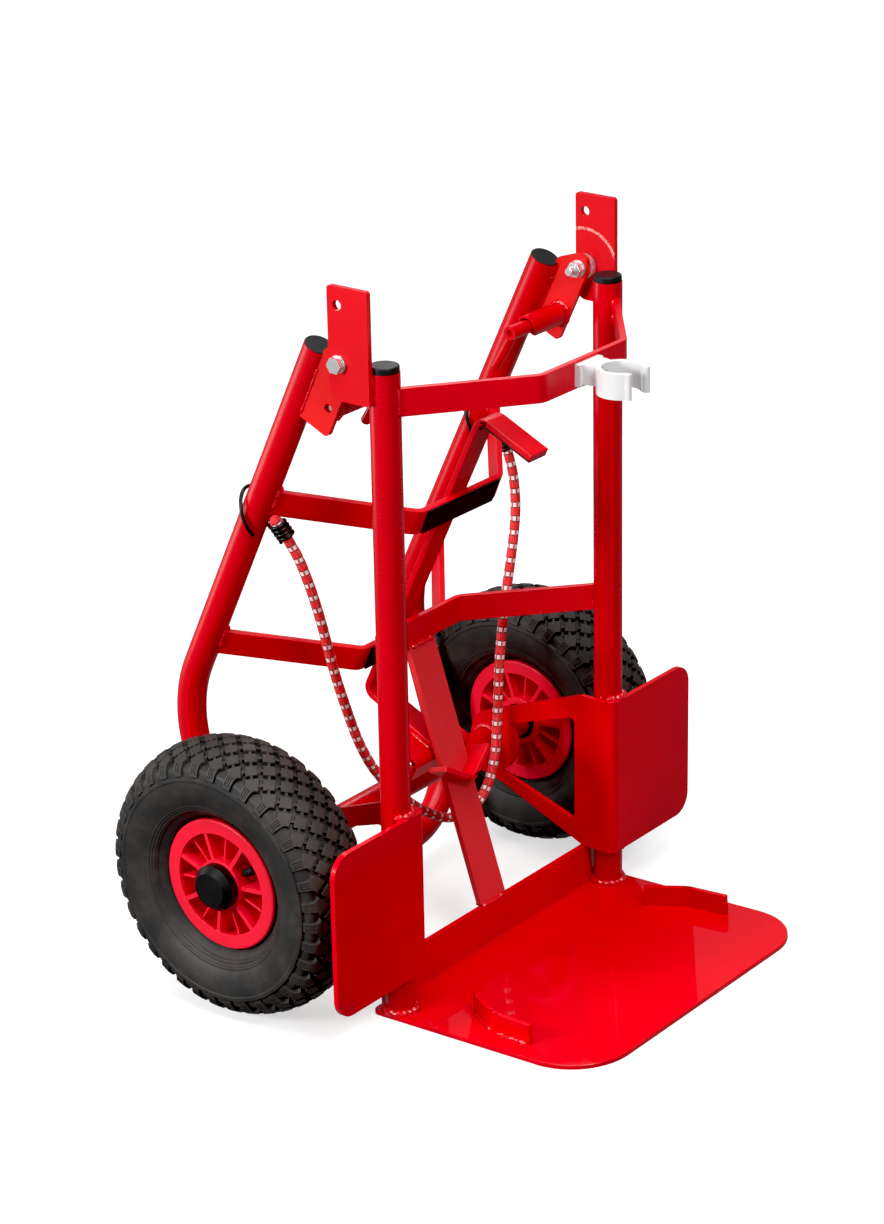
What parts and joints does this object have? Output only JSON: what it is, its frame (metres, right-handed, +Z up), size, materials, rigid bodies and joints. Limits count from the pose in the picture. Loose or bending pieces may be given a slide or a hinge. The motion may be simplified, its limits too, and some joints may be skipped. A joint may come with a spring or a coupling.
{
  "type": "folding transport cart",
  "caption": "Two-wheeled hand cart with a flat toe plate, tube uprights and a handle bow that folds down behind them, locked by sliding pins, with an elastic cord.",
  "frame": {"origin": "on the floor, under the middle of the object's box", "axes": "+X along the axle to the right, -Y towards the toe plate's front, +Z up; the handle is folded down"},
  "size_m": [0.54, 0.476, 0.677],
  "materials": {
    "red_paint": "gloss",
    "rim_plastic": "satin",
    "black_plastic": "satin",
    "white_plastic": "satin",
    "zinc": "zinc plated",
    "rubber": "matte",
    "tyre": "matte",
    "cord_cover": "braided",
    "black_wire": "plastic coated"
  },
  "bodies": {
    "chassis": {"toe_plate": "red_paint", "left_toe_stop": "red_paint", "right_toe_stop": "red_paint", "left_upright": "red_paint", "right_upright": "red_paint", "upright_caps": "black_plastic", "upper_front_bar": "red_paint", "lower_front_bar": "red_paint", "centre_strut": "red_paint", "pole_cradle": "red_paint", "left_axle_plate": "red_paint", "right_axle_plate": "red_paint", "axle_tube": "red_paint", "axle_shaft": "zinc", "axle_collars": "red_paint", "axle_washers": "zinc", "left_hinge_plate": "red_paint", "right_hinge_plate": "red_paint", "pivot_bolts": "zinc", "pivot_nuts": "zinc", "pivot_washers": "zinc", "pipe_clip": "white_plastic", "clip_screw": "zinc"},
    "handle": {"handle_bow": "red_paint", "handle_caps": "black_plastic", "left_bracket": "red_paint", "right_bracket": "red_paint", "upper_rest_bar": "red_paint", "lower_rest_bar": "red_paint", "upper_rest_pad": "rubber", "lower_rest_pad": "rubber", "spine_bar": "red_paint", "hook_pad": "rubber", "foot_plate": "red_paint", "left_lock_sleeve": "red_paint", "right_lock_sleeve": "red_paint", "left_lock_spring": "zinc", "right_lock_spring": "zinc", "elastic_cord": "cord_cover", "left_cord_hook": "black_wire", "right_cord_hook": "black_wire"},
    "left_lock": {"left_lock_pin": "zinc", "left_lock_lever": "red_paint"},
    "left_wheel": {"left_tyre": "tyre", "left_inner_tube": "rubber", "left_rim": "rim_plastic", "left_wheel_bearings": "zinc", "left_valve": "rubber", "left_hub_cap": "black_plastic"},
    "right_lock": {"right_lock_pin": "zinc", "right_lock_lever": "red_paint"},
    "right_wheel": {"right_tyre": "tyre", "right_inner_tube": "rubber", "right_rim": "rim_plastic", "right_wheel_bearings": "zinc", "right_valve": "rubber", "right_hub_cap": "black_plastic"}
  },
  "joints": [
    {"name": "handle_fold", "type": "hinge", "parent": "chassis", "child": "handle", "pos_m": [0, -0.00774, 0.60926], "axis": [1, 0, 0], "range_deg": [0, 154.7], "deforming": ["elastic_cord"]},
    {"name": "left_lock_slide", "type": "slide", "parent": "handle", "child": "left_lock", "axis": [-1, 0, 0], "range_m": [0, 0.013], "deforming": ["left_lock_spring"]},
    {"name": "right_lock_slide", "type": "slide", "parent": "handle", "child": "right_lock", "axis": [1, 0, 0], "range_m": [0, 0.013], "deforming": ["right_lock_spring"]},
    {"name": "left_wheel_spin", "type": "hinge", "parent": "chassis", "child": "left_wheel", "pos_m": [-0.223, 0.108, 0.13], "axis": [1, 0, 0], "continuous": true},
    {"name": "right_wheel_spin", "type": "hinge", "parent": "chassis", "child": "right_wheel", "pos_m": [0.223, 0.108, 0.13], "axis": [1, 0, 0], "continuous": true}
  ]
}
